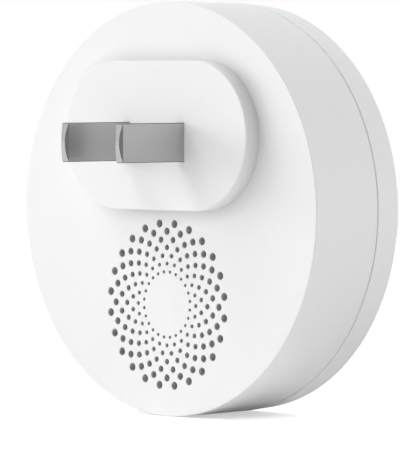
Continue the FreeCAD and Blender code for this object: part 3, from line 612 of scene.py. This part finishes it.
frontCover = {
    "buttonGap": 0.15 * mm,
    "lensGap": 0.05 * mm,
    "guideGap": 0.4 * mm,
    "guideWall": 1.0 * mm,
    "guideDepth": 2.4 * mm,
    "openingRound": 0.15 * mm,
    "tongueThick": 1.2 * mm,
    "tongueReach": 3.4 * mm,
    "tongueWidth": 9.6 * mm,
    "catchReach": 0.6 * mm,
    "catchHeight": 1.2 * mm,
    "play": 0.1 * mm,
    "fitGap": 0.2 * mm,
    "segments": 128,
}
button = {
    "radius": 7.0 * mm,
    "round": 0.4 * mm,
    "dish": 0.12 * mm,
    "dishSteps": 8,
    "flangeRadius": 8.2 * mm,
    "flangePlay": 0.1 * mm,
    "flangeThick": 1.0 * mm,
    "stemRadius": 1.6 * mm,
    "segments": 128,
}
lens = {
    "radius": 1.6 * mm,
    "round": 0.2 * mm,
    "flangeRadius": 2.4 * mm,
    "flangeThick": 0.8 * mm,
    "segments": 64,
}
buttonHeight = middleOf("mode_button")[1]
lensHeight = middleOf("indicator_lens")[1]


def openingLoops(radius, z):
    size = frontCover["openingRound"]
    steps = [(radius, ceiling + overlap), (radius, frontFace + size), (radius + 2 * size, frontFace - size)]
    return turned(steps, z=z, segments=frontCover["segments"])


def snapTongues():
    # Each tongue bears a catch that stands in a window of the rear shell.
    shape = frontCover
    chord = math.sqrt(innerRadius ** 2 - (rearShell["snapWidth"] / 2) ** 2)
    outer = chord - shape["fitGap"]
    inner = outer - shape["tongueThick"]
    catchStart = seam + rearShell["snapStart"] + shape["play"]
    half = shape["tongueWidth"] / 2
    section = [
        (inner, ceiling - overlap),
        (outer, ceiling - overlap),
        (outer, catchStart),
        (outer + shape["catchReach"], catchStart),
        (outer, catchStart + shape["catchHeight"]),
        (outer, seam + shape["tongueReach"]),
        (inner, seam + shape["tongueReach"]),
    ]
    return [
        [[turnPoint(x, y, axisHeight + z, turn, bodyAxis) for x, y in section] for z in (-half, half)]
        for turn in shares(rearShell["snaps"])
    ]


def buildFrontCover():
    shape = frontCover
    shoulder = seamRadius - housing["partingDepth"]
    step = seam - housing["partingGap"]
    profile = [(innerRadius, ceiling), (innerRadius, seam), (shoulder, seam), (shoulder, step)]
    profile += reversed(rounded(seamRadius, step, housing["lipRound"], 1, steps=3))
    profile += rounded(frontRadius, frontFace, housing["frontRound"], -1, steps=10)
    cover = skin("frontCover", [turned(profile)])

    guideInner = button["flangeRadius"] + shape["guideGap"]
    guideOuter = guideInner + shape["guideWall"]
    guideEnd = ceiling + shape["guideDepth"]
    where = {"z": buttonHeight, "segments": shape["segments"]}
    ring = [(guideOuter, ceiling - overlap), (guideOuter, guideEnd)]
    bore = [(guideInner, ceiling - 2 * overlap), (guideInner, guideEnd + overlap)]
    guide = skin("guide", [turned(ring, **where)])
    cut(guide, skin("guideBore", [turned(bore, **where)]))
    cut(cover, guide, "UNION")
    cut(cover, skin("tongues", snapTongues()), "UNION")
    cut(cover, skin("openings", [
        openingLoops(button["radius"] + shape["buttonGap"], buttonHeight),
        openingLoops(lens["radius"] + shape["lensGap"], lensHeight),
    ]))
    place(cover, "front_cover", "housing", "cover_white")


def buildButton():
    shape = button
    low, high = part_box("mode_button")
    flangeLow = ceiling + shape["flangePlay"] + shape["flangeThick"]
    profile = [
        (shape["stemRadius"], high.y),
        (shape["stemRadius"], flangeLow),
        (shape["flangeRadius"], flangeLow),
        (shape["flangeRadius"], flangeLow - shape["flangeThick"]),
        (shape["radius"], flangeLow - shape["flangeThick"]),
    ]
    profile += rounded(shape["radius"], low.y, shape["round"], -1)
    rim = shape["radius"] - shape["round"]
    steps = shape["dishSteps"]
    for i in range(1, steps + 1):
        fall = shape["dish"] * math.sin(math.pi / 2 * i / steps)
        profile.append((rim * (1 - i / (steps + 1)), low.y + fall))
    piece = skin("modeButton", [turned(profile, z=buttonHeight, segments=shape["segments"])])
    place(piece, "mode_button", "button", "button_white")


def buildLens():
    shape = lens
    profile = [
        (shape["flangeRadius"], ceiling + shape["flangeThick"]),
        (shape["flangeRadius"], ceiling),
        (shape["radius"], ceiling),
    ]
    profile += rounded(shape["radius"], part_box("indicator_lens")[0].y, shape["round"], -1)
    piece = skin("indicatorLens", [turned(profile, z=lensHeight, segments=shape["segments"])])
    place(piece, "indicator_lens", "housing", "lens_clear")


blade = {
    "thick": 1.5 * mm,
    "width": 6.35 * mm,
    "nose": 0.6 * mm,
    "bevel": 0.34 * mm,
    "edge": 0.12 * mm,
    "shoulderHeight": 1.5 * mm,
    "shoulderWidth": 9.0 * mm,
    "tailWidth": 4.0 * mm,
    "rows": 32,
    "edgeSteps": 4,
    "leastRise": 0.002,  # of the nose, so that its outermost faces stay open
    "sideways": 0.5,  # a face whose normal has more than this along X looks sideways
    "sharpAngle": 25,
}
bladePieces = {"plugBladeLeft": "plug_blade_left", "plugBladeRight": "plug_blade_right"}


def bladeHeights():
    # Places across the width from -1 to 1, closer together in the rounding of the two long edges,
    # each with how far that rounding draws the sides in
    edge, reach, steps = blade["edge"], blade["width"] / 2, blade["edgeSteps"]
    ends = []
    for i in range(steps + 1):
        a = math.radians(90 * i / steps)
        ends.append((1 - edge * (1 - math.cos(a)) / reach, edge * (1 - math.sin(a))))
    flat = ends[-1][0]
    between = [(flat * (2 * i / blade["rows"] - 1), 0.0) for i in range(1, blade["rows"])]
    return [(-across, sink) for across, sink in ends] + between + ends[::-1]


def buildBlade(name, node):
    # Rows of one cross-section run up the width, so the nose and its two bevels follow the curve.
    shape = blade
    low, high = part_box(node)
    middle, centre = middleOf(node)
    tipBase = high.y - shape["nose"]
    rootEnd = retainerBack + shape["shoulderHeight"]
    loops = []
    for across, sink in bladeHeights():
        z = centre + across * shape["width"] / 2
        rise = shape["nose"] * max(1 - across ** 2, shape["leastRise"])
        half = shape["thick"] / 2 - sink
        tip = half - shape["bevel"] * rise / shape["nose"]
        section = [(-half, rootEnd), (-half, tipBase), (-tip, tipBase + rise)]
        section += [(-x, y) for x, y in reversed(section)]
        loops.append([(middle + x, y, z) for x, y in section])
    piece = skin(name, [loops])
    half = shape["thick"] / 2
    lowerParts = (("shoulderWidth", retainerBack, rootEnd), ("tailWidth", low.y, retainerBack))
    for width, start, end in lowerParts:
        reach = shape[width] / 2
        lower = block((middle - half, start, centre - reach), (middle + half, end, centre + reach))
        cut(piece, skin("lower", [lower]), "UNION")
    place(piece, node, "housing", "blade_nickel", sharpAngle=shape["sharpAngle"])
    # The long edges and the nose's bevels are sheared and rougher; their darker colour is painted shade for
    # how dimly they reflect.
    piece.data.materials.append(finishes["sheared_nickel_painted_shade"])
    for face in piece.data.polygons:
        onEdge = abs(face.center.z - centre) > shape["width"] / 2 - shape["edge"]
        onBevel = face.center.y > tipBase and abs(face.normal.x) > shape["sideways"]
        if onEdge or onBevel:
            face.material_index = 1


studio = {
    "floorSize": 1.2,
    "floorDrop": 0.02 * mm,
    "floorColour": 0.95,
    "floorRoughness": 0.9,
    "floorGlow": 0.5,  # near the object, where its shadow lies
    "floorGlowFar": 1.0,
    "floorInMetal": 0.4,  # the lamps light the floor too, so this share makes it white in metal
    "floorNear": 0.15,  # the glow grows between these distances
    "floorFar": 0.9,
    "backdrop": 1.0,  # white
    # Direction and level of the soft light from either side
    "room": {"wallSide": (0, 1, 0, 0.82), "roomSide": (0, -1, 0, 0.38)},
    # Direction, share of full light, and size of each lamp, all at one distance
    "lamps": {
        "keyLamp": ((0.85, 0.49, 0.21), 0.43, 0.9),
        "topLamp": ((0.5, 0.3, 0.8), 0.42, 0.9),
        "sideLamp": ((-0.8, -0.6, 0.04), 0.11, 0.9),
        "rimLamp": ((-0.55, -0.4, 0.72), 0.36, 0.9),
    },
    "lampDistance": 1.6,
}
cameraView = {
    "azimuth": 225.23,
    "elevation": 2.10,
    "distance": 762.6 * mm,
    "target": (-7.72 * mm, -3.0 * mm, -15.57 * mm),
    "lens": 364.8,
    "sensor": 36.0,
    "clipStart": 0.01,
    "clipEnd": 50,
}


def directionFrom(azimuth, elevation):
    a, e = math.radians(azimuth), math.radians(elevation)
    return Vector((math.sin(a) * math.cos(e), -math.cos(a) * math.cos(e), math.sin(e)))


def seenRays(tree, inMetal=1.0):
    # 1 for rays from the camera or through glass, inMetal for those that metal and gloss mirror
    path = addNode(tree, "ShaderNodeLightPath")
    seen = calculate(tree, "MAXIMUM", path.outputs["Is Camera Ray"], path.outputs["Is Transmission Ray"])
    mirrored = calculate(tree, "MULTIPLY", path.outputs["Is Glossy Ray"], inMetal)
    return calculate(tree, "MAXIMUM", seen, mirrored)


def buildFloor():
    half = studio["floorSize"] / 2
    level = cadBounds[0][2] - studio["floorDrop"]
    corners = [(-half, -half, level), (half, -half, level), (half, half, level), (-half, half, level)]
    mesh = bpy.data.meshes.new("floor")
    mesh.from_pydata(corners, [], [(0, 1, 2, 3)])
    floor = newPiece("floor", mesh)
    material = bpy.data.materials.new("paleFloor")
    material.use_nodes = True
    tree = material.node_tree
    shader = tree.nodes["Principled BSDF"]
    shader.inputs["Base Color"].default_value = (*[studio["floorColour"]] * 3, 1)
    shader.inputs["Roughness"].default_value = studio["floorRoughness"]
    shader.inputs["Emission Color"].default_value = (1, 1, 1, 1)
    around = addNode(tree, "ShaderNodeTexCoord")
    away = addNode(tree, "ShaderNodeVectorMath", operation="LENGTH")
    tree.links.new(around.outputs["Object"], away.inputs[0])
    glow = addNode(tree, "ShaderNodeMapRange")
    glow.inputs["From Min"].default_value = studio["floorNear"]
    glow.inputs["From Max"].default_value = studio["floorFar"]
    glow.inputs["To Min"].default_value = studio["floorGlow"]
    glow.inputs["To Max"].default_value = studio["floorGlowFar"]
    tree.links.new(away.outputs["Value"], glow.inputs["Value"])
    seen = seenRays(tree, studio["floorInMetal"])
    strength = calculate(tree, "MULTIPLY", seen, glow.outputs["Result"])
    tree.links.new(strength, shader.inputs["Emission Strength"])
    mesh.materials.append(material)


def buildWorld():
    world = bpy.data.worlds.new("studio")
    world.use_nodes = True
    tree = world.node_tree
    tree.nodes.clear()
    around = addNode(tree, "ShaderNodeTexCoord")
    soft = addNode(tree, "ShaderNodeBackground")
    room = 0.0
    for *direction, level in studio["room"].values():
        facing = addNode(tree, "ShaderNodeVectorMath", operation="DOT_PRODUCT")
        facing.inputs[1].default_value = direction
        tree.links.new(around.outputs["Generated"], facing.inputs[0])
        lit = calculate(tree, "MAXIMUM", facing.outputs["Value"], 0.0)
        room = calculate(tree, "MULTIPLY_ADD", lit, level, room)
    tree.links.new(room, soft.inputs["Strength"])
    backdrop = addNode(tree, "ShaderNodeBackground")
    for node in (soft, backdrop):
        node.inputs["Color"].default_value = (1, 1, 1, 1)
    backdrop.inputs["Strength"].default_value = studio["backdrop"]
    choice = addNode(tree, "ShaderNodeMixShader")
    tree.links.new(seenRays(tree), choice.inputs[0])
    tree.links.new(soft.outputs[0], choice.inputs[1])
    tree.links.new(backdrop.outputs[0], choice.inputs[2])
    sink = addNode(tree, "ShaderNodeOutputWorld")
    tree.links.new(choice.outputs[0], sink.inputs["Surface"])
    bpy.context.scene.world = world


def buildLamp(name, direction, share, size):
    # A full share lights a surface that faces the lamp as a plain white room would.
    distance = studio["lampDistance"]
    lamp = bpy.data.lights.new(name, "AREA")
    lamp.shape = "DISK"
    lamp.size = size
    lamp.energy = share * (math.pi * distance) ** 2
    holder = bpy.data.objects.new(name, lamp)
    bpy.context.scene.collection.objects.link(holder)
    towards = Vector(direction).normalized()
    holder.location = Vector((0, 0, axisHeight)) + towards * distance
    holder.rotation_euler = towards.to_track_quat("Z", "Y").to_euler()
    holder.visible_glossy = False  # metal and gloss show the white backdrop, not the lamps


def buildCamera():
    view = cameraView
    lensData = bpy.data.cameras.new("camera")
    lensData.lens = view["lens"]
    lensData.sensor_width = view["sensor"]
    lensData.sensor_fit = "AUTO"
    lensData.clip_start = view["clipStart"]
    lensData.clip_end = view["clipEnd"]
    holder = bpy.data.objects.new("camera", lensData)
    bpy.context.scene.collection.objects.link(holder)
    towards = directionFrom(view["azimuth"], view["elevation"])
    holder.location = Vector(view["target"]) + towards * view["distance"]
    holder.rotation_euler = towards.to_track_quat("Z", "Y").to_euler()
    bpy.context.scene.camera = holder


buildRearShell()
print("rear shell made")
buildFrontCover()
buildButton()
buildLens()
print("front cover, button and lens made")
for name, node in bladePieces.items():
    buildBlade(name, node)
print("blades made")
buildFloor()
buildWorld()
for name, values in studio["lamps"].items():
    buildLamp(name, *values)
buildCamera()
bpy.context.scene.view_settings.view_transform = "Standard"
print("studio made")
